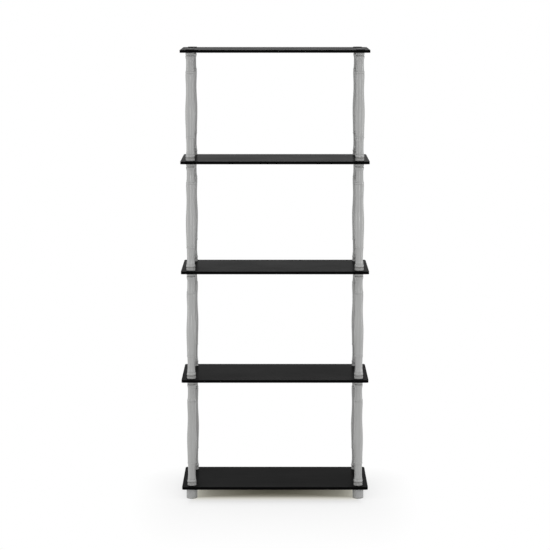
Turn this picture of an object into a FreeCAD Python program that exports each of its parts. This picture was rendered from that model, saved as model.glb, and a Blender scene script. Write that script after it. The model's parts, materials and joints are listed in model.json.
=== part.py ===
import FreeCAD, Part
import os
import math
import Sketcher

# Tube shelf rack: five thin boards on four columns of turned tubes, screwed together at the boards.
# Millimetres, +Z up, front towards -Y, origin on the floor under the middle of the rack.

Vector = FreeCAD.Vector
doc = FreeCAD.newDocument("tube_shelf_rack")

# Driving dimensions

SIZES = [
    ("board_width", 600.0, "board, left to right, over its edge strips"),
    ("board_depth", 295.0, "board, front to back, over its edge strips"),
    ("board_thickness", 9.0, "board, and height of its edge strips"),
    ("board_corner_radius", 8.0, "rounded corner of a board, over its edge strips"),
    ("strip_thickness", 1.0, "edge strip"),
    ("strip_bevel", 0.6, "bevel along the outer edges of an edge strip"),
    ("column_inset_side", 31.0, "column axis to the end of the board"),
    ("column_inset_front", 31.0, "column axis to the front or back of the board"),
    ("tube_length", 322.0, "turned tube, lip to lip"),
    ("tube_wall", 1.8, "wall at the waist, the neck and the bulge"),
    ("lower_lip_radius", 14.3, "lip at the lower end of the tube"),
    ("upper_lip_radius", 13.75, "flared lip at the upper end of the tube"),
    ("lip_edge_radius", 1.8, "rounded rim of a lip, where the groove beside the collar starts"),
    ("lower_lip_land", 3.6, "straight part of the lower lip, above its rim"),
    ("upper_lip_land", 0.4, "straight part of the upper lip, below its rim"),
    ("shoulder_height", 4.6, "round shoulder on top of the lower lip"),
    ("shoulder_notch_radius", 12.55, "bottom of the notch above the shoulder"),
    ("shaft_foot_radius", 13.05, "shaft where it rises from that notch"),
    ("shaft_foot_height", 14.0, "taper from the notch to the slim part of the shaft"),
    ("cove_height", 14.0, "curve from the waist to the upper lip"),
    ("shaft_radius", 12.05, "slim part above the lower lip"),
    ("shaft_top", 34.0, "lower end to where the shaft starts to flare"),
    ("lower_bead_height", 60.0, "lower end to the foot of the lower bead"),
    ("bead_height", 7.0, "height of each bead"),
    ("bead_radius", 13.95, "widest part of each bead"),
    ("bead_foot_radius", 12.9, "where a bead meets the slim part beside it"),
    ("notch_height", 0.9, "sharp notch between a bead and the vase"),
    ("vase_lower_radius", 13.6, "vase at its lower notch"),
    ("bulge_radius", 15.25, "widest part of the vase"),
    ("bulge_height", 139.0, "lower end to the widest part of the vase"),
    ("neck_radius", 12.6, "slimmest part of the vase"),
    ("neck_drop", 106.5, "upper end down to the slimmest part of the vase"),
    ("vase_upper_radius", 14.0, "vase at its upper notch"),
    ("vase_top_drop", 57.0, "upper end down to the upper notch"),
    ("waist_radius", 11.65, "slim part below the upper lip"),
    ("waist_drop", 26.5, "upper end down to where the waist starts to flare"),
    ("stud_collar_radius", 14.1, "collar between the lower end of a tube and its board"),
    ("socket_collar_radius", 13.4, "collar between the upper end of a tube and its board"),
    ("collar_height", 10.0, "collar of a fitting, with its groove"),
    ("collar_edge_radius", 0.9, "rounded rims of a collar"),
    ("groove_height", 1.7, "groove in a collar, beside the tube"),
    ("groove_depth", 1.7, "groove in a collar, below its radius"),
    ("sleeve_length", 26.0, "part of a fitting that is inside the tube"),
    ("sleeve_clearance", 0.1, "sleeve to tube bore, on the radius"),
    ("stud_radius", 7.0, "screw stud, over its thread"),
    ("stud_wall", 2.6, "wall and end wall of the hollow stud"),
    ("stud_chamfer", 1.2, "lead-in at the end of a stud"),
    ("stud_reach", 20.0, "stud below the board that it goes through"),
    ("thread_clearance", 0.25, "stud to socket, on the radius"),
    ("board_hole_clearance", 0.5, "stud to board hole, on the radius"),
    ("foot_radius", 17.5, "foot"),
    ("foot_height", 33.0, "foot, floor to bottom board"),
    ("foot_edge_radius", 2.0, "rounded rim on the floor"),
    ("foot_rim_radius", 0.8, "rounded rim under the board"),
    ("foot_socket_relief", 2.0, "room past the end of the stud in the foot"),
    ("cap_radius", 15.0, "disc of a top cap"),
    ("cap_height", 2.6, "disc of a top cap above the board"),
    ("cap_edge_radius", 1.2, "rounded upper rim of a cap"),
]
TIERS = 4
COLUMNS = {"front_left": (-1, -1), "front_right": (1, -1), "back_left": (-1, 1), "back_right": (1, 1)}
SIDES = {"front": (0, -1), "back": (0, 1), "left": (-1, 0), "right": (1, 0)}

sheet = doc.addObject("Spreadsheet::Sheet", "Sizes")
for row, (alias, size, meaning) in enumerate(SIZES, 1):
    sheet.set(f"A{row}", alias)
    sheet.set(f"B{row}", str(size))
    sheet.set(f"C{row}", meaning)
    sheet.setAlias(f"B{row}", alias)
doc.recompute()

# Places and fits that follow from the sheet

COLUMN_X = "(Sizes.board_width / 2 - Sizes.column_inset_side)"
COLUMN_Y = "(Sizes.board_depth / 2 - Sizes.column_inset_front)"
CORNER_RADIUS = "max(Sizes.board_corner_radius; 2 * Sizes.strip_thickness)"
TIER_PITCH = "(Sizes.board_thickness + Sizes.tube_length + 2 * Sizes.collar_height)"
BORE_RADIUS = "(Sizes.waist_radius - Sizes.tube_wall)"
SLEEVE_RADIUS = f"({BORE_RADIUS} - Sizes.sleeve_clearance)"
SOCKET_RADIUS = "(Sizes.stud_radius + Sizes.thread_clearance)"
CORE_RADIUS = "(Sizes.stud_radius - Sizes.stud_wall)"
STUD_END = "(0 - Sizes.board_thickness - Sizes.stud_reach)"

# Shares that shape bevels and cubic curves
BEVEL_SHARE = 0.9   # most of a strip's thickness that its bevel may take
CURVE_SHARE = 0.4   # share of a curve's height that each handle takes
LEAN_SHARE = 0.5    # share of a flare's width at its leaning handle
BEAD_REACH = "4 / 3"   # handle height over the height of a half round
QUARTER_TURN = math.pi / 2
TOUCHING = 1e-6   # lengths below this are nothing


# Sketch helpers: every point of an outline is bound to the sheet

def value(expression):
    return float(sheet.evalExpression(expression))


def spot(point):
    return Vector(value(point[0]), value(point[1]), 0)


def between(start, end, share):
    return f"({start} + {share} * ({end} - {start}))"


def new_sketch(body, name, role):
    sketch = body.newObject("Sketcher::SketchObject", name)
    plane = next(f for f in body.Origin.OriginFeatures if f.Role == role)
    sketch.AttachmentSupport = [(plane, "")]
    sketch.MapMode = "FlatFace"
    return sketch


def bind(sketch, kind, ids, expression):
    index = sketch.addConstraint(Sketcher.Constraint(kind, *ids, value(expression)))
    sketch.setExpression(f"Constraints[{index}]", expression)


def bind_point(sketch, geometry, position, point):
    bind(sketch, "DistanceX", (-1, 1, geometry, position), point[0])
    bind(sketch, "DistanceY", (-1, 1, geometry, position), point[1])


def add_line(sketch, start, end):
    return sketch.addGeometry(Part.LineSegment(spot(start), spot(end)))


# Quarter circle, turning left from start to end.
def add_corner(sketch, start, end):
    first = spot(start)
    chord = spot(end) - first
    center = first + chord / 2 + Vector(-chord.y, chord.x, 0) / 2
    angle = math.atan2(first.y - center.y, first.x - center.x)
    circle = Part.Circle(center, Vector(0, 0, 1), abs(chord.x))
    arc = sketch.addGeometry(Part.ArcOfCircle(circle, angle, angle + QUARTER_TURN))
    bind(sketch, "Radius", (arc,), f"abs({end[0]} - {start[0]})")
    return arc


# Upright at both ends, like the sides of a vase.
def ease_handles(start, end):
    leaving = (start[0], between(start[1], end[1], CURVE_SHARE))
    arriving = (end[0], between(end[1], start[1], CURVE_SHARE))
    return leaving, arriving


# Upright at the slim end, leaning at the other.
def flare_handles(slim, wide):
    upright = (slim[0], between(slim[1], wide[1], CURVE_SHARE))
    leaning = (between(slim[0], wide[0], LEAN_SHARE), between(wide[1], slim[1], CURVE_SHARE * LEAN_SHARE))
    return upright, leaning


# Half round: the middle of the curve reaches the radius of a bead.
def bead_handles(start, end):
    crown = between(start[0], "Sizes.bead_radius", BEAD_REACH)
    return (crown, start[1]), (crown, end[1])


HANDLES = {
    "ease": ease_handles,
    "bead": bead_handles,
    "spread": flare_handles,
    "gather": lambda start, end: flare_handles(end, start)[::-1],
}


def add_curve(sketch, start, end, handles):
    poles = [spot(point) for point in (start, *handles, end)]
    spline = Part.BSplineCurve()
    spline.buildFromPolesMultsKnots(poles, [4, 4], [0.0, 1.0], False, 3)
    curve = sketch.addGeometry(spline)
    pole = curve + 1
    sketch.exposeInternalGeometry(curve)
    for step, point in enumerate(handles, 1):
        bind_point(sketch, pole + step, 3, point)
    return curve


# Closed outline: each step is its kind and the point where it ends, and the last ends at the start.
# A hollow is a corner that turns right, so it is drawn from its end.
def add_outline(sketch, start, steps):
    here = start
    chain = []
    for kind, *there in steps:
        first, last = (2, 1) if kind == "hollow" else (1, 2)
        if kind == "line":
            geometry = add_line(sketch, here, there)
        elif kind == "corner":
            geometry = add_corner(sketch, here, there)
        elif kind == "hollow":
            geometry = add_corner(sketch, there, here)
        else:
            geometry = add_curve(sketch, here, there, HANDLES[kind](here, there))
        chain.append((geometry, first, last))
        here = there
    for position, ((geometry, _, last), step) in enumerate(zip(chain, steps)):
        following, first, _ = chain[(position + 1) % len(chain)]
        sketch.addConstraint(Sketcher.Constraint("Coincident", geometry, last, following, first))
        bind_point(sketch, geometry, last, step[1:])


# A piece of round section: its half-section turned about the Z axis.
def turned_form(name, start, steps):
    body = doc.addObject("PartDesign::Body", name)
    sketch = new_sketch(body, f"{name}_section", "XZ_Plane")
    add_outline(sketch, start, steps)
    turn = body.newObject("PartDesign::Revolution", f"{name}_turn")
    turn.Profile = sketch
    turn.ReferenceAxis = (sketch, ["V_Axis"])
    turn.Angle = 360
    doc.recompute()
    return body


def padded(body, sketch):
    pad = body.newObject("PartDesign::Pad", f"{body.Name}_pad")
    pad.Profile = sketch
    pad.setExpression("Length", "Sizes.board_thickness")
    doc.recompute()
    return pad


# Forms, each modelled once about its own axis

def board_form():
    body = doc.addObject("PartDesign::Body", "board_form")
    sketch = new_sketch(body, "board_outline", "XY_Plane")
    side = "(Sizes.board_width / 2 - Sizes.strip_thickness)"
    face = "(Sizes.board_depth / 2 - Sizes.strip_thickness)"
    side_end = f"(Sizes.board_depth / 2 - {CORNER_RADIUS})"
    face_end = f"(Sizes.board_width / 2 - {CORNER_RADIUS})"
    start = (f"(0 - {side})", f"(0 - {side_end})")
    add_outline(sketch, start, [
        ("corner", f"(0 - {face_end})", f"(0 - {face})"),
        ("line", face_end, f"(0 - {face})"),
        ("corner", side, f"(0 - {side_end})"),
        ("line", side, side_end),
        ("corner", face_end, face),
        ("line", f"(0 - {face_end})", face),
        ("corner", f"(0 - {side})", side_end),
        ("line", *start),
    ])
    for side, face in COLUMNS.values():
        center = (f"({side} * {COLUMN_X})", f"({face} * {COLUMN_Y})")
        radius = "Sizes.stud_radius + Sizes.board_hole_clearance"
        hole = sketch.addGeometry(Part.Circle(spot(center), Vector(0, 0, 1), value(radius)))
        bind_point(sketch, hole, 3, center)
        bind(sketch, "Radius", (hole,), radius)
    padded(body, sketch)
    return body


# Edge strip along X, its outer face towards -Y and bevelled along both edges of that face.
def strip_form(name, start, steps):
    body = doc.addObject("PartDesign::Body", name)
    sketch = new_sketch(body, f"{name}_outline", "XY_Plane")
    add_outline(sketch, start, steps)
    pad = padded(body, sketch)
    names = []
    for index, edge in enumerate(pad.Shape.Edges, 1):
        box = edge.BoundBox
        outer = math.isclose(box.YMax, 0, abs_tol=TOUCHING)
        upright = math.isclose(box.XLength, 0, abs_tol=TOUCHING)
        if outer and not upright:
            names.append(f"Edge{index}")
    bevel = body.newObject("PartDesign::Chamfer", f"{name}_bevel")
    bevel.Base = (pad, names)
    limit = f"{BEVEL_SHARE} * Sizes.strip_thickness"
    bevel.setExpression("Size", f"min(Sizes.strip_bevel; {limit})")
    doc.recompute()
    return body


# Strip at the front or back, bent round the two corners there.
def face_strip_form():
    side = "(Sizes.board_width / 2)"
    inner_side = f"({side} - Sizes.strip_thickness)"
    bend = f"({side} - {CORNER_RADIUS})"
    start = (f"(0 - {side})", CORNER_RADIUS)
    return strip_form("face_strip_form", start, [
        ("corner", f"(0 - {bend})", "0"),
        ("line", bend, "0"),
        ("corner", side, CORNER_RADIUS),
        ("line", inner_side, CORNER_RADIUS),
        ("hollow", bend, "Sizes.strip_thickness"),
        ("line", f"(0 - {bend})", "Sizes.strip_thickness"),
        ("hollow", f"(0 - {inner_side})", CORNER_RADIUS),
        ("line", *start),
    ])


# Strip at the left or right, between the bends of the other two.
def side_strip_form():
    end = f"(Sizes.board_depth / 2 - {CORNER_RADIUS})"
    start = (f"(0 - {end})", "0")
    return strip_form("side_strip_form", start, [
        ("line", end, "0"),
        ("line", end, "Sizes.strip_thickness"),
        ("line", f"(0 - {end})", "Sizes.strip_thickness"),
        ("line", *start),
    ])


def tube_form():
    def below(drop, rise="0"):
        return f"(Sizes.tube_length - Sizes.{drop} + {rise})"

    lower_lip = "(Sizes.lip_edge_radius + Sizes.lower_lip_land)"
    shoulder = f"({lower_lip} + Sizes.shoulder_height)"
    shaft_foot = f"({shoulder} + Sizes.notch_height)"
    upper_lip = below("lip_edge_radius", "(0 - Sizes.upper_lip_land)")
    vase_base = "(Sizes.lower_bead_height + Sizes.bead_height + Sizes.notch_height)"
    start = (BORE_RADIUS, "0")
    return turned_form("tube_form", start, [
        ("line", "(Sizes.lower_lip_radius - Sizes.lip_edge_radius)", "0"),
        ("corner", "Sizes.lower_lip_radius", "Sizes.lip_edge_radius"),
        ("line", "Sizes.lower_lip_radius", lower_lip),
        ("spread", "Sizes.shoulder_notch_radius", shoulder),
        ("line", "Sizes.shaft_foot_radius", shaft_foot),
        ("ease", "Sizes.shaft_radius", f"({shaft_foot} + Sizes.shaft_foot_height)"),
        ("line", "Sizes.shaft_radius", "Sizes.shaft_top"),
        ("spread", "Sizes.bead_foot_radius", "Sizes.lower_bead_height"),
        ("bead", "Sizes.bead_foot_radius", "(Sizes.lower_bead_height + Sizes.bead_height)"),
        ("line", "Sizes.vase_lower_radius", vase_base),
        ("ease", "Sizes.bulge_radius", "Sizes.bulge_height"),
        ("ease", "Sizes.neck_radius", below("neck_drop")),
        ("ease", "Sizes.vase_upper_radius", below("vase_top_drop")),
        ("line", "Sizes.bead_foot_radius", below("vase_top_drop", "Sizes.notch_height")),
        ("bead", "Sizes.bead_foot_radius", below("vase_top_drop", "Sizes.notch_height + Sizes.bead_height")),
        ("gather", "Sizes.waist_radius", below("waist_drop")),
        ("line", "Sizes.waist_radius", f"({upper_lip} - Sizes.cove_height)"),
        ("ease", "Sizes.upper_lip_radius", upper_lip),
        ("line", "Sizes.upper_lip_radius", below("lip_edge_radius")),
        ("corner", "(Sizes.upper_lip_radius - Sizes.lip_edge_radius)", "Sizes.tube_length"),
        ("line", BORE_RADIUS, "Sizes.tube_length"),
        ("line", BORE_RADIUS, below("vase_top_drop")),
        ("ease", "(Sizes.neck_radius - Sizes.tube_wall)", below("neck_drop")),
        ("ease", "(Sizes.bulge_radius - Sizes.tube_wall)", "Sizes.bulge_height"),
        ("ease", BORE_RADIUS, vase_base),
        ("line", *start),
    ])


# Outer side of a collar's ring, rounded at both rims, from its lower face to its upper face.
def ring_side(radius, low, high):
    rim = f"({radius} - Sizes.collar_edge_radius)"
    return [
        ("line", rim, low),
        ("corner", radius, f"({low} + Sizes.collar_edge_radius)"),
        ("line", radius, f"({high} - Sizes.collar_edge_radius)"),
        ("corner", rim, high),
    ]


# Upper end of a tube: sleeve down in the tube, grooved collar under the board, screw socket right through.
def socket_form():
    sleeve_end = "(0 - Sizes.sleeve_length)"
    groove = "(Sizes.socket_collar_radius - Sizes.groove_depth)"
    start = (SOCKET_RADIUS, sleeve_end)
    return turned_form("socket_form", start, [
        ("line", SLEEVE_RADIUS, sleeve_end),
        ("line", SLEEVE_RADIUS, "0"),
        ("line", groove, "0"),
        ("line", groove, "Sizes.groove_height"),
        *ring_side("Sizes.socket_collar_radius", "Sizes.groove_height", "Sizes.collar_height"),
        ("line", SOCKET_RADIUS, "Sizes.collar_height"),
        ("line", *start),
    ])


# Lower end of a tube: sleeve up in the tube, grooved collar on the board, hollow screw stud down through it.
def stud_form():
    sleeve_end = "(Sizes.collar_height + Sizes.sleeve_length)"
    groove = "(Sizes.stud_collar_radius - Sizes.groove_depth)"
    ring_top = "(Sizes.collar_height - Sizes.groove_height)"
    floor = f"({STUD_END} + Sizes.stud_wall)"
    start = ("0", STUD_END)
    return turned_form("stud_form", start, [
        ("line", "(Sizes.stud_radius - Sizes.stud_chamfer)", STUD_END),
        ("line", "Sizes.stud_radius", f"({STUD_END} + Sizes.stud_chamfer)"),
        ("line", "Sizes.stud_radius", "0"),
        *ring_side("Sizes.stud_collar_radius", "0", ring_top),
        ("line", groove, ring_top),
        ("line", groove, "Sizes.collar_height"),
        ("line", SLEEVE_RADIUS, "Sizes.collar_height"),
        ("line", SLEEVE_RADIUS, sleeve_end),
        ("line", SOCKET_RADIUS, sleeve_end),
        ("line", SOCKET_RADIUS, "Sizes.collar_height"),
        ("line", CORE_RADIUS, "Sizes.collar_height"),
        ("line", CORE_RADIUS, floor),
        ("line", "0", floor),
        ("line", *start),
    ])


# Round foot with a blind screw socket in its top.
def foot_form():
    socket_floor = "(Sizes.foot_height - Sizes.stud_reach - Sizes.foot_socket_relief)"
    start = ("0", "0")
    return turned_form("foot_form", start, [
        ("line", "(Sizes.foot_radius - Sizes.foot_edge_radius)", "0"),
        ("corner", "Sizes.foot_radius", "Sizes.foot_edge_radius"),
        ("line", "Sizes.foot_radius", "(Sizes.foot_height - Sizes.foot_rim_radius)"),
        ("corner", "(Sizes.foot_radius - Sizes.foot_rim_radius)", "Sizes.foot_height"),
        ("line", SOCKET_RADIUS, "Sizes.foot_height"),
        ("line", SOCKET_RADIUS, socket_floor),
        ("line", "0", socket_floor),
        ("line", *start),
    ])


# Low disc on the top board with a hollow screw stud below, open at its end.
def cap_form():
    core_top = "(0 - Sizes.stud_wall)"
    start = (CORE_RADIUS, STUD_END)
    return turned_form("cap_form", start, [
        ("line", "(Sizes.stud_radius - Sizes.stud_chamfer)", STUD_END),
        ("line", "Sizes.stud_radius", f"({STUD_END} + Sizes.stud_chamfer)"),
        ("line", "Sizes.stud_radius", "0"),
        ("line", "Sizes.cap_radius", "0"),
        ("line", "Sizes.cap_radius", "(Sizes.cap_height - Sizes.cap_edge_radius)"),
        ("corner", "(Sizes.cap_radius - Sizes.cap_edge_radius)", "Sizes.cap_height"),
        ("line", "0", "Sizes.cap_height"),
        ("line", "0", core_top),
        ("line", CORE_RADIUS, core_top),
        ("line", *start),
    ])


# Pieces: copies of the forms at their places

def board_base(level):
    return f"(Sizes.foot_height + {level} * {TIER_PITCH})"


def at_column(column, height):
    side, face = COLUMNS[column]
    return f"{side} * {COLUMN_X}", f"{face} * {COLUMN_Y}", height


def placed(form, label, place, turn=0):
    body = doc.addObject("PartDesign::Body", label)
    copy = doc.addObject("PartDesign::FeatureBase", f"{label}_copy")
    copy.BaseFeature = form
    body.Group = [copy]
    body.Tip = copy
    body.Placement.Rotation = FreeCAD.Rotation(Vector(0, 0, 1), turn)
    for axis, expression in zip("xyz", place):
        body.setExpression(f"Placement.Base.{axis}", expression)
    return body


# The same fitting at the four columns of a tier, as one group of separate solids.
def placed_group(form, label, height):
    group = doc.addObject("Part::Compound", label)
    group.Links = [placed(form, f"{label}_{column}", at_column(column, height)) for column in COLUMNS]
    return group


def placed_strip(side, label, height):
    across, along = SIDES[side]
    place = (f"{across} * Sizes.board_width / 2", f"{along} * Sizes.board_depth / 2", height)
    turn = math.degrees(math.atan2(across, -along))
    return placed(side_strip if across else face_strip, label, place, turn)


board, face_strip, side_strip, tube = board_form(), face_strip_form(), side_strip_form(), tube_form()
socket, stud, foot, cap = socket_form(), stud_form(), foot_form(), cap_form()

pieces = []
for level in range(TIERS + 1):
    pieces.append(placed(board, f"shelf_board_{level + 1}", ("0", "0", board_base(level))))
    for side in SIDES:
        pieces.append(placed_strip(side, f"edge_strip_{side}_{level + 1}", board_base(level)))
for tier in range(TIERS):
    board_top = f"({board_base(tier)} + Sizes.board_thickness)"
    tube_base = f"({board_top} + Sizes.collar_height)"
    tube_top = f"({tube_base} + Sizes.tube_length)"
    pieces.append(placed_group(stud, f"stud_fittings_{tier + 1}", board_top))
    pieces.append(placed_group(socket, f"socket_fittings_{tier + 1}", tube_top))
    for column in COLUMNS:
        pieces.append(placed(tube, f"tube_{column}_{tier + 1}", at_column(column, tube_base)))
rack_top = f"({board_base(TIERS)} + Sizes.board_thickness)"
for column in COLUMNS:
    pieces.append(placed(foot, f"foot_{column}", at_column(column, "0")))
    pieces.append(placed(cap, f"cap_{column}", at_column(column, rack_top)))
doc.recompute()

# Nothing is written unless every object is sound

failed = [item.Label for item in doc.Objects if "Invalid" in item.State or "Error" in item.State]
failed += [piece.Label for piece in pieces if piece.Shape.isNull() or not piece.Shape.isValid()]
if failed:
    raise RuntimeError(f"not sound: {failed}")
os.makedirs("parts", exist_ok=True)
for piece in pieces:
    piece.Shape.exportStep(f"parts/{piece.Label}.step")
    print(piece.Label, len(piece.Shape.Solids), "solids", round(piece.Shape.Volume / 1000, 2), "cm3")
whole = Part.makeCompound([piece.Shape for piece in pieces]).BoundBox
print(f"{len(pieces)} nodes, {whole.XLength:.1f} x {whole.YLength:.1f} x {whole.ZLength:.1f} mm")
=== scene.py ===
import json
import math
import bmesh
import bpy
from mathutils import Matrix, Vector


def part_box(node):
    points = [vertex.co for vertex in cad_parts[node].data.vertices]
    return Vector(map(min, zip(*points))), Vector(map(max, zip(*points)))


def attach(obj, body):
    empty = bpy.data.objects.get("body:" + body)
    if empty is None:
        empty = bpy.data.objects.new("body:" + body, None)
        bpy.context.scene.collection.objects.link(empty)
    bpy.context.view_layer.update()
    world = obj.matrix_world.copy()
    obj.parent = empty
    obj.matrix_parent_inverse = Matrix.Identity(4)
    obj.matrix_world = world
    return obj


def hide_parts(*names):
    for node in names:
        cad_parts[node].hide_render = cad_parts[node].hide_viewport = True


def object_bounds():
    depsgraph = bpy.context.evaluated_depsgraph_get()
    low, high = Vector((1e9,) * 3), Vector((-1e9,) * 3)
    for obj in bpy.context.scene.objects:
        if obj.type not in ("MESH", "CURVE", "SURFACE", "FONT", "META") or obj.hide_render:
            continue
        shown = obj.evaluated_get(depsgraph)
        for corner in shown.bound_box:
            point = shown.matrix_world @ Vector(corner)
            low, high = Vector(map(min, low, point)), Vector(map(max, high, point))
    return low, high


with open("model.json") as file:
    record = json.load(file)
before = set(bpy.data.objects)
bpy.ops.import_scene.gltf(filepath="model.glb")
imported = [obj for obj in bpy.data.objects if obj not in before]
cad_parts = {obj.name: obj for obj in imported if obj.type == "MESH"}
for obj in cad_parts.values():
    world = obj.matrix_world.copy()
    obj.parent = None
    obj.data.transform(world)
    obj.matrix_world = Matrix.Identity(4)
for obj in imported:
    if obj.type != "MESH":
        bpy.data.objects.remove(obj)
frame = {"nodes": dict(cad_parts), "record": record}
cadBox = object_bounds()
print("frame loaded:", len(frame["nodes"]), "nodes")

# measures of the rack, read from the frame
columns = ("front_left", "front_right", "back_left", "back_right")
boardLow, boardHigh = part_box("shelf_board_1")
tubeLow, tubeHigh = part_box("tube_front_left_1")
boardThick = boardHigh.z - boardLow.z
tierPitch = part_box("shelf_board_2")[0].z - boardLow.z
bayHeight = tierPitch - boardThick
tubeLength = tubeHigh.z - tubeLow.z


# node helpers: a socket's value is a number, a colour or the socket to link from
def addNode(tree, kind, sockets=None, **settings):
    node = tree.nodes.new(kind)
    for name, setting in settings.items():
        setattr(node, name, setting)
    for name, value in (sockets or {}).items():
        if isinstance(value, bpy.types.NodeSocket):
            tree.links.new(value, node.inputs[name])
        else:
            node.inputs[name].default_value = value
    return node


def newFinish(name):
    finish = bpy.data.materials.new(name)
    finish.use_nodes = True
    tree = finish.node_tree
    place = addNode(tree, "ShaderNodeTexCoord").outputs["Object"]
    return finish, tree, tree.nodes["Principled BSDF"], place


def noiseOn(tree, place, scale, detail=2.0, stretch=(1, 1, 1), blur=0.5):
    if stretch != (1, 1, 1):
        place = addNode(tree, "ShaderNodeMapping", {"Vector": place, "Scale": stretch}).outputs[0]
    sockets = {"Vector": place, "Scale": scale, "Detail": detail, "Roughness": blur}
    return addNode(tree, "ShaderNodeTexNoise", sockets).outputs["Fac"]


def doMath(tree, operation, first, second=0.0):
    return addNode(tree, "ShaderNodeMath", {0: first, 1: second}, operation=operation).outputs[0]


def spread(tree, value, fromLow, fromHigh, toLow, toHigh, smooth=False):
    kind = "SMOOTHSTEP" if smooth else "LINEAR"
    sockets = {"Value": value, "From Min": fromLow, "From Max": fromHigh, "To Min": toLow, "To Max": toHigh}
    return addNode(tree, "ShaderNodeMapRange", sockets, interpolation_type=kind).outputs["Result"]


# a mix node takes its share at socket 0 and its colours at 6 and 7, and gives a colour at output 2
def mixColor(tree, share, first, second):
    first, second = [(*color, 1.0) if isinstance(color, tuple) else color for color in (first, second)]
    return addNode(tree, "ShaderNodeMix", {0: share, 6: first, 7: second}, data_type="RGBA").outputs[2]


# height above the foot of the tier that a point is in
def tierHeight(tree, place, base):
    z = addNode(tree, "ShaderNodeSeparateXYZ", {0: place}).outputs["Z"]
    return doMath(tree, "FLOORED_MODULO", doMath(tree, "SUBTRACT", z, base), tierPitch)


# bands across a height: each has its level, how far it reaches and how strong it is there
def bandsAt(tree, height, bands):
    total = None
    for level, reach, strength in bands:
        away = doMath(tree, "ABSOLUTE", doMath(tree, "SUBTRACT", height, level))
        band = spread(tree, away, 0.0, reach, strength, 0.0, smooth=True)
        total = band if total is None else doMath(tree, "MAXIMUM", total, band)
    return total


# bumps on top of each other: each has its height, strength and distance
def addBump(tree, shader, bumps):
    normal = None
    for height, strength, distance in bumps:
        sockets = {"Height": height, "Strength": strength, "Distance": distance}
        if normal is not None:
            sockets["Normal"] = normal
        normal = addNode(tree, "ShaderNodeBump", sockets).outputs["Normal"]
    tree.links.new(normal, shader.inputs["Normal"])


# grey moulded plastic: the marks that all of it has, then the looks of tubes, fittings and feet; their dark
# bands are dirt and painted shade
grayMarks = {"streaks": (140, 140, 4.5), "streakFade": (0.38, 0.66),
             "clouds": 16.0, "cloudFade": (0.32, 0.68), "dirtAndPaintedShadePatches": (0.3, 0.7, 0.6, 1.0),
             "dirtAndPaintedShadeRoughens": 0.25, "polishSmooths": 0.05,
             "peel": 620.0, "peelBump": (0.05, 0.0002), "pits": 2400.0, "pitBump": (0.04, 0.00006)}
grooveLevel = 0.0093   # groove beside a tube's end, from the board there
grayTube = {"name": "grayTubePlastic", "color": (0.385, 0.387, 0.381), "streak": (0.355, 0.357, 0.350),
            "dirtAndPaintedShade": (0.20, 0.195, 0.18), "roughness": (0.19, 0.24), "specular": 0.62, "base": tubeLow.z,
            "dirtAndPaintedShadeBands": ((0.0, 0.0022, 0.9), (0.0105, 0.0009, 0.5), (tubeLength, 0.0018, 0.4)),
            "polishBands": ((0.0635, 0.010, 1.0), (0.139, 0.010, 1.0), (0.2695, 0.010, 1.0))}
grayFitting = {"name": "grayFittingPlastic", "color": (0.410, 0.412, 0.406),
               "streak": (0.385, 0.387, 0.380), "dirtAndPaintedShade": (0.18, 0.175, 0.16),
               "roughness": (0.42, 0.52), "specular": 0.4, "base": boardHigh.z,
               "dirtAndPaintedShadeBands": ((0.0, 0.0012, 0.4), (grooveLevel, 0.0020, 1.0),
                              (bayHeight - grooveLevel, 0.0016, 0.5), (bayHeight, 0.0012, 0.3)),
               "polishBands": ((0.005, 0.004, 1.0), (0.337, 0.004, 1.0))}
grayFoot = {"name": "grayFootPlastic", "color": (0.415, 0.417, 0.411), "streak": (0.385, 0.387, 0.380),
            "dirtAndPaintedShade": (0.17, 0.165, 0.15), "roughness": (0.42, 0.54), "specular": 0.4, "base": 0.0,
            "dirtAndPaintedShadeBands": ((0.0, 0.004, 0.8), (boardLow.z, 0.004, 0.8)),
            "polishBands": ((0.018, 0.010, 1.0),)}


def grayPlastic(look, marks):
    finish, tree, shader, place = newFinish(look["name"])
    streaks = noiseOn(tree, place, 1.0, detail=3.0, stretch=marks["streaks"])   # flow marks, upright
    clouds = noiseOn(tree, place, marks["clouds"], detail=3.0)
    peel = noiseOn(tree, place, marks["peel"], detail=2.0)                      # fine orange peel
    pits = noiseOn(tree, place, marks["pits"], detail=1.0)
    height = tierHeight(tree, place, look["base"])
    # dark bands at given heights, broken into patches: dirt together with painted shade at the ends,
    # grooves and joins and under the boards
    patches = spread(tree, clouds, *marks["dirtAndPaintedShadePatches"])
    dirtAndPaintedShade = doMath(tree, "MULTIPLY", bandsAt(tree, height, look["dirtAndPaintedShadeBands"]), patches)
    polish = bandsAt(tree, height, look["polishBands"])
    flow = spread(tree, streaks, *marks["streakFade"], 0.0, 1.0, True)
    color = mixColor(tree, flow, look["color"], look["streak"])
    tree.links.new(mixColor(tree, dirtAndPaintedShade, color, look["dirtAndPaintedShade"]), shader.inputs["Base Color"])
    rough = spread(tree, clouds, *marks["cloudFade"], *look["roughness"])
    rough = doMath(tree, "SUBTRACT", rough, doMath(tree, "MULTIPLY", polish, marks["polishSmooths"]))
    rough = doMath(tree, "ADD", rough, doMath(tree, "MULTIPLY", dirtAndPaintedShade, marks["dirtAndPaintedShadeRoughens"]))
    tree.links.new(rough, shader.inputs["Roughness"])
    shader.inputs["Specular IOR Level"].default_value = look["specular"]
    addBump(tree, shader, ((peel, *marks["peelBump"]), (pits, *marks["pitBump"])))
    return finish


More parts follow.
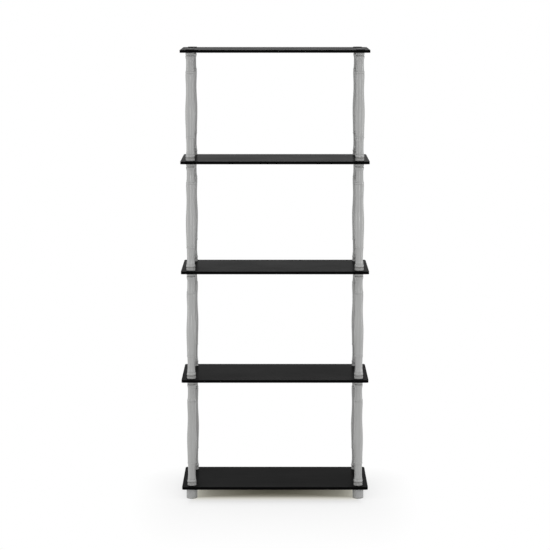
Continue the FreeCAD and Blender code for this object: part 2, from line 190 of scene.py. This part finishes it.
# black satin laminate on chipboard, which shows in the stud holes
boardLook = {"name": "blackLaminate", "color": (0.0070, 0.0070, 0.0071), "light": (0.0105, 0.0104, 0.0102),
             "grain": (5, 160, 160), "grainFade": (0.35, 0.75), "grainBump": (0.04, 0.0002),
             "haze": 7.0, "hazeFade": (0.3, 0.7), "pebble": 1300.0, "pebbleBump": (0.12, 0.00008),
             "chips": 420.0, "chipLight": (0.40, 0.27, 0.15), "chipDark": (0.17, 0.10, 0.05),
             "roughness": (0.30, 0.345), "cutRoughens": 0.35, "cutFacing": 0.5, "specular": 0.0015}


def blackLaminate(look):
    finish, tree, shader, place = newFinish(look["name"])
    grain = noiseOn(tree, place, 1.0, detail=4.0, stretch=look["grain"], blur=0.6)   # along the board
    haze = noiseOn(tree, place, look["haze"], detail=4.0)
    pebble = noiseOn(tree, place, look["pebble"], detail=2.0)
    pores = spread(tree, grain, *look["grainFade"], 0.0, 1.0, True)
    color = mixColor(tree, pores, look["color"], look["light"])
    scatter = {"Vector": place, "Scale": look["chips"], "Randomness": 1.0}
    chips = addNode(tree, "ShaderNodeTexVoronoi", scatter).outputs["Color"]
    tone = addNode(tree, "ShaderNodeSeparateColor", {0: chips}).outputs[0]
    core = mixColor(tree, tone, look["chipLight"], look["chipDark"])
    normal = addNode(tree, "ShaderNodeNewGeometry").outputs["Normal"]
    facing = addNode(tree, "ShaderNodeSeparateXYZ", {0: normal}).outputs["Z"]
    cut = doMath(tree, "LESS_THAN", doMath(tree, "ABSOLUTE", facing), look["cutFacing"])
    tree.links.new(mixColor(tree, cut, color, core), shader.inputs["Base Color"])
    rough = spread(tree, haze, *look["hazeFade"], *look["roughness"])
    rough = doMath(tree, "ADD", rough, doMath(tree, "MULTIPLY", cut, look["cutRoughens"]))
    tree.links.new(rough, shader.inputs["Roughness"])
    shader.inputs["Specular IOR Level"].default_value = look["specular"]
    addBump(tree, shader, ((grain, *look["grainBump"]), (pebble, *look["pebbleBump"])))
    return finish


# black strip glued round the boards, worn along its two arrises
stripLook = {"name": "blackEdgeStrip", "color": (0.0022, 0.0022, 0.0023), "worn": (0.012, 0.012, 0.0125),
             "wornReach": 0.0011, "wornFade": (0.42, 0.70, 0.0, 0.8), "roomBelow": 0.002,
             "drawn": (6, 6, 2600), "drawnBump": (0.06, 0.00006), "haze": 22.0, "hazeFade": (0.3, 0.7),
             "pebble": 1500.0, "pebbleBump": (0.08, 0.00006), "roughness": (0.40, 0.50), "specular": 0.005}


def blackStrip(look):
    finish, tree, shader, place = newFinish(look["name"])
    drawn = noiseOn(tree, place, 1.0, detail=2.0, stretch=look["drawn"])   # drawn lines along the strip
    haze = noiseOn(tree, place, look["haze"], detail=4.0, blur=0.65)
    pebble = noiseOn(tree, place, look["pebble"], detail=2.0)
    lower = look["roomBelow"]   # height of the lower arris in a tier that starts a little below it
    height = tierHeight(tree, place, boardLow.z - lower)
    arris = bandsAt(tree, height, [(edge, look["wornReach"], 1.0) for edge in (lower, lower + boardThick)])
    worn = doMath(tree, "MULTIPLY", arris, spread(tree, haze, *look["wornFade"], True))
    tree.links.new(mixColor(tree, worn, look["color"], look["worn"]), shader.inputs["Base Color"])
    rough = spread(tree, haze, *look["hazeFade"], *look["roughness"])
    tree.links.new(rough, shader.inputs["Roughness"])
    shader.inputs["Specular IOR Level"].default_value = look["specular"]
    addBump(tree, shader, ((drawn, *look["drawnBump"]), (pebble, *look["pebbleBump"])))
    return finish


# black caps, spark-textured, with small rubbed specks
capLook = {"name": "blackCapPlastic", "color": (0.018, 0.018, 0.0183), "worn": (0.055, 0.055, 0.056),
           "specks": 900.0, "speckFade": (0.62, 0.72, 0.0, 0.35), "rubFade": (0.4, 0.65),
           "haze": 40.0, "hazeFade": (0.3, 0.7), "spark": 1700.0, "sparkBump": (0.15, 0.00008),
           "roughness": (0.27, 0.35), "specular": 0.18}


def blackCap(look):
    finish, tree, shader, place = newFinish(look["name"])
    haze = noiseOn(tree, place, look["haze"], detail=4.0, blur=0.6)
    spark = noiseOn(tree, place, look["spark"], detail=3.0, blur=0.6)
    specks = spread(tree, noiseOn(tree, place, look["specks"], detail=1.0), *look["speckFade"], True)
    rubbed = doMath(tree, "MULTIPLY", specks, spread(tree, haze, *look["rubFade"], 0.0, 1.0, True))
    tree.links.new(mixColor(tree, rubbed, look["color"], look["worn"]), shader.inputs["Base Color"])
    rough = spread(tree, haze, *look["hazeFade"], *look["roughness"])
    tree.links.new(rough, shader.inputs["Roughness"])
    shader.inputs["Specular IOR Level"].default_value = look["specular"]
    addBump(tree, shader, ((spark, *look["sparkBump"]),))
    return finish


finishes = {"tube": grayPlastic(grayTube, grayMarks), "fitting": grayPlastic(grayFitting, grayMarks),
            "foot": grayPlastic(grayFoot, grayMarks), "board": blackLaminate(boardLook),
            "edge_strip": blackStrip(stripLook), "cap": blackCap(capLook)}
for part in frame["record"]["subparts"]:
    for slot in frame["nodes"][part["node"]].material_slots:
        slot.material = finishes[part["material_slot"]]
print("finishes:", len(finishes))

# top caps: crowned disc on a hollow stud with a moulded thread
capShape = {"segments": 96, "crown": 0.00035, "crownRings": 6, "topRound": 0.0011, "topSegments": 5,
            "seatRound": 0.00025, "seatSegments": 2, "lead": 0.0008, "leadSegments": 1,
            "coreRadius": 0.0061, "boreRadius": 0.0044, "boreRoof": 0.0026,
            "threadRadius": 0.0069, "threadPitch": 0.0026, "threadFoot": 0.0010, "threadCrest": 0.00032,
            "threadSunk": 0.0004, "threadLead": 0.0026, "threadNeck": 0.0036, "threadSteps": 40,
            "sharpFrom": 38.0, "mergeWithin": 1e-6}


# disc and stud as one outline, turned about the middle
def turnedCap(bm, shape, radius, top, seat, end):
    rings = shape["crownRings"]
    shares = [ring / rings for ring in range(rings + 1)]
    outline = [(radius * share, top - shape["crown"] * share ** 2) for share in shares]
    roof = seat - shape["boreRoof"]
    core, bore = shape["coreRadius"], shape["boreRadius"]
    outline += [(radius, seat), (core, seat), (core, end), (bore, end), (bore, roof), (0.0, roof)]
    corners = [bm.verts.new((across, 0.0, height)) for across, height in outline]
    for pair in zip(corners, corners[1:]):
        bm.edges.new(pair)
    topRim, seatRim, studEnd = corners[rings], corners[rings + 1], corners[rings + 3]
    rounds = ((topRim, shape["topRound"], shape["topSegments"]),
              (seatRim, shape["seatRound"], shape["seatSegments"]),
              (studEnd, shape["lead"], shape["leadSegments"]))
    for corner, offset, segments in rounds:
        bmesh.ops.bevel(bm, geom=[corner], offset=offset, offset_type="OFFSET", affect="VERTICES",
                        segments=segments, profile=0.5, material=-1)
    bmesh.ops.spin(bm, geom=bm.verts[:] + bm.edges[:], cent=(0, 0, 0), axis=(0, 0, 1), angle=math.tau,
                   steps=shape["segments"], use_merge=True)
    bmesh.ops.remove_doubles(bm, verts=bm.verts, dist=shape["mergeWithin"])


# one ridge that climbs the stud and sinks into it at both ends
def raisedThread(bm, shape, seat, end):
    low, high = end + shape["threadLead"], seat - shape["threadNeck"]
    root, crest = shape["coreRadius"] - shape["threadSunk"], shape["threadRadius"]
    section = ((root, -shape["threadFoot"]), (crest, -shape["threadCrest"]),
               (crest, shape["threadCrest"]), (root, shape["threadFoot"]))
    first = [bm.verts.new((across, 0.0, low + rise)) for across, rise in section]
    face = bm.faces.new(first)
    turns = (high - low) / shape["threadPitch"]
    steps = round(turns * shape["threadSteps"])
    ridge = bmesh.ops.spin(bm, geom=[face] + face.edges[:] + first, cent=(0, 0, 0), axis=(0, 0, 1),
                           dvec=(0, 0, (high - low) / steps), angle=turns * math.tau, steps=steps)
    last = [part for part in ridge["geom_last"] if isinstance(part, bmesh.types.BMVert)]
    shrink = root / crest
    bmesh.ops.scale(bm, vec=(shrink, shrink, 1.0), verts=first + last)


def topCap(column, shape):
    low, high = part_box("cap_" + column)
    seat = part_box("shelf_board_5")[1].z
    bm = bmesh.new()
    turnedCap(bm, shape, (high.x - low.x) / 2, high.z, seat, low.z)
    raisedThread(bm, shape, seat, low.z)
    bmesh.ops.recalc_face_normals(bm, faces=bm.faces)
    bmesh.ops.translate(bm, vec=((low.x + high.x) / 2, (low.y + high.y) / 2, 0.0), verts=bm.verts)
    for face in bm.faces:
        face.smooth = True
    mesh = bpy.data.meshes.new("threaded_cap_" + column)
    bm.to_mesh(mesh)
    bm.free()
    mesh.set_sharp_from_angle(angle=math.radians(shape["sharpFrom"]))
    mesh.materials.append(finishes["cap"])
    cap = bpy.data.objects.new(mesh.name, mesh)
    bpy.context.collection.objects.link(cap)
    return cap


for column in columns:
    cap = topCap(column, capShape)
    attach(cap, "cap_" + column)
    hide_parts("cap_" + column)
print("caps:", len(columns))

# floor: pale near the rack, where it takes the shadow, and white further off; near the rack a white glow
# seen by the camera is painted light that lightens and shapes the shadow, and a warm tint under the rack is
# painted warm light
floorLook = {"radius": 60.0, "segments": 96, "color": (0.93, 0.93, 0.925), "roughness": (0.85, 0.95),
             "grain": 60.0, "grainFade": (0.3, 0.7), "paintedWarmLight": (0.93, 0.886, 0.68), "paintedWarmReach": (-0.13, 0.0),
             "forward": 0.035, "inset": 0.026, "sideways": 3.2, "behind": 2.6,
             "paintedLightUnderEnds": (-0.1375, -0.0625),   # under the rack, from the middle to its ends
             # white: distance past the footprint and share of white there; far off it is the even white
             # floor, near and under the rack it is painted light that lightens and shapes the shadow
             "white": ((-0.18, 0.03), (-0.12, 0.07), (-0.10, 0.12), (-0.085, 0.17), (-0.0675, 0.40),
                       (-0.0525, 0.56), (-0.0325, 0.45), (-0.0125, 0.46), (0.0175, 0.63), (0.0575, 0.72),
                       (0.12, 0.75), (0.30, 0.84), (0.60, 1.0))}   # distance and share of white there


def seenRay(tree):
    rays = addNode(tree, "ShaderNodeLightPath").outputs
    seen = doMath(tree, "MAXIMUM", rays["Is Camera Ray"], rays["Is Glossy Ray"])
    return doMath(tree, "MAXIMUM", seen, rays["Is Transmission Ray"])


# how far a floor point lies past the rack's footprint, less than nothing inside it; the footprint is moved
# forward a little, and steps to its sides and behind it count for more
# the moved footprint and the heavier steps to its sides and behind shape the painted light on the shadow
def pastFootprint(tree, place, look):
    sides = addNode(tree, "ShaderNodeSeparateXYZ", {0: place}).outputs
    across = doMath(tree, "ABSOLUTE", sides["X"])
    along = doMath(tree, "ADD", sides["Y"], look["forward"])
    # painted light: under the rack the distance rises towards its ends, so more white glow lightens the
    # shadow by the feet
    underRack = spread(tree, across, 0.0, cadBox[1].x, *look["paintedLightUnderEnds"])
    pastSide = doMath(tree, "SUBTRACT", across, cadBox[1].x - look["inset"])
    pastSide = doMath(tree, "MAXIMUM", doMath(tree, "MULTIPLY", pastSide, look["sideways"]), underRack)
    pastFront = doMath(tree, "SUBTRACT", -cadBox[1].y, along)
    pastBack = doMath(tree, "MULTIPLY", doMath(tree, "SUBTRACT", along, cadBox[1].y), look["behind"])
    pastEnd = doMath(tree, "MAXIMUM", pastFront, pastBack)
    inside = doMath(tree, "MINIMUM", doMath(tree, "MAXIMUM", pastSide, pastEnd), 0.0)
    steps = {"X": doMath(tree, "MAXIMUM", pastSide, 0.0), "Y": doMath(tree, "MAXIMUM", pastEnd, 0.0)}
    beyond = addNode(tree, "ShaderNodeCombineXYZ", steps).outputs[0]
    beyond = addNode(tree, "ShaderNodeVectorMath", {0: beyond}, operation="LENGTH").outputs["Value"]
    return doMath(tree, "ADD", inside, beyond)


# share of white at a distance past the footprint: even white far off, painted light on the shadow near the
# rack
def whiteAndPaintedLightShare(tree, past, white):
    nearest, farthest = white[0][0], white[-1][0]
    ramp = addNode(tree, "ShaderNodeValToRGB", {"Fac": spread(tree, past, nearest, farthest, 0.0, 1.0)})
    stops = ramp.color_ramp.elements
    while len(stops) < len(white):
        stops.new(0.5)   # moved to its place below
    for stop, (distance, share) in zip(stops, white):
        stop.position = (distance - nearest) / (farthest - nearest)
        stop.color = (share, share, share, 1.0)
    return ramp.outputs["Color"]


def paleFloor(look):
    finish, tree, shader, place = newFinish("paleFloor")
    past = pastFootprint(tree, place, look)
    # painted warm light: under the rack the floor colour and its white glow turn warm, standing in for warm
    # light in the shadow
    paintedWarmth = spread(tree, past, *look["paintedWarmReach"], 1.0, 0.0, True)
    floorColorWithPaintedWarmth = mixColor(tree, paintedWarmth, look["color"], look["paintedWarmLight"])
    glowWithPaintedWarmth = mixColor(tree, paintedWarmth, (1.0, 1.0, 1.0), look["paintedWarmLight"])
    grain = noiseOn(tree, place, look["grain"], detail=3.0)
    tree.links.new(floorColorWithPaintedWarmth, shader.inputs["Base Color"])
    rough = spread(tree, grain, *look["grainFade"], *look["roughness"])
    tree.links.new(rough, shader.inputs["Roughness"])
    shader.inputs["Specular IOR Level"].default_value = 0.0
    white = addNode(tree, "ShaderNodeEmission", {"Color": glowWithPaintedWarmth, "Strength": 1.0})
    share = doMath(tree, "MULTIPLY", whiteAndPaintedLightShare(tree, past, look["white"]), seenRay(tree))
    mix = addNode(tree, "ShaderNodeMixShader", {0: share, 1: shader.outputs[0], 2: white.outputs[0]})
    tree.links.new(mix.outputs[0], tree.nodes["Material Output"].inputs["Surface"])
    return finish


floorMesh = bpy.data.meshes.new("floor")
bm = bmesh.new()
bmesh.ops.create_circle(bm, cap_ends=True, segments=floorLook["segments"], radius=floorLook["radius"])
bm.to_mesh(floorMesh)
bm.free()
floorMesh.materials.append(paleFloor(floorLook))
floor = bpy.data.objects.new("floor", floorMesh)
bpy.context.collection.objects.link(floor)
print("floor: radius", floorLook["radius"], "m")

# world: plain soft fill, white where it is seen
worldLook = {"fill": (0.65, 0.65, 0.655, 1.0), "fillStrength": 1.0,
             "seen": (1, 1, 1, 1), "seenStrength": 1.0}
world = bpy.data.worlds.new("studio")
world.use_nodes = True
bpy.context.scene.world = world
tree = world.node_tree
fill = tree.nodes["Background"]
fill.inputs["Color"].default_value = worldLook["fill"]
fill.inputs["Strength"].default_value = worldLook["fillStrength"]
white = {"Color": worldLook["seen"], "Strength": worldLook["seenStrength"]}
seen = addNode(tree, "ShaderNodeBackground", white)
mix = addNode(tree, "ShaderNodeMixShader", {0: seenRay(tree), 1: fill.outputs[0], 2: seen.outputs[0]})
tree.links.new(mix.outputs[0], tree.nodes["World Output"].inputs["Surface"])

# soft boxes: one overhead, a strip on each side and a narrow one in front
lamps = {"top": {"place": (0.0, -0.6, 3.4), "aim": (0, 0, 0.6), "size": (2.2, 1.8), "power": 16.0},
         "middle": {"place": (0.19, -2.95, 0.9), "aim": (0, 0, 0.9), "size": (0.16, 1.0), "power": 10.0},
         "left": {"place": (-2.0, -0.45, 0.95), "aim": (0, 0, 0.75), "size": (0.3, 1.7), "power": 7.5},
         "right": {"place": (2.0, -0.45, 0.95), "aim": (0, 0, 0.75), "size": (0.3, 1.7), "power": 7.5}}
for name, lamp in lamps.items():
    data = bpy.data.lights.new(name, "AREA")
    data.shape = "RECTANGLE"
    data.size, data.size_y = lamp["size"]
    data.energy = lamp["power"]
    light = bpy.data.objects.new(name, data)
    light.location = lamp["place"]
    light.visible_camera = False
    light.rotation_euler = (Vector(lamp["aim"]) - light.location).to_track_quat("-Z", "Y").to_euler()
    bpy.context.collection.objects.link(light)
print("studio:", len(lamps), "soft boxes")

# camera, a little above the rack and tilted down
view = {"place": (0.0, -6.9619, 1.6681), "down": 7.813, "focalPixels": 2160.5, "imagePixels": 550,
        "sensor": 36.0, "farthest": 500.0}
cameraData = bpy.data.cameras.new("camera")
cameraData.sensor_width = view["sensor"]
cameraData.lens = view["sensor"] * view["focalPixels"] / view["imagePixels"]
cameraData.clip_end = view["farthest"]
camera = bpy.data.objects.new("camera", cameraData)
camera.location = view["place"]
camera.rotation_euler = (math.radians(90.0 - view["down"]), 0.0, 0.0)
bpy.context.collection.objects.link(camera)
bpy.context.scene.camera = camera
bpy.context.scene.view_settings.view_transform = "Standard"
print("camera: lens", round(cameraData.lens, 1), "mm")
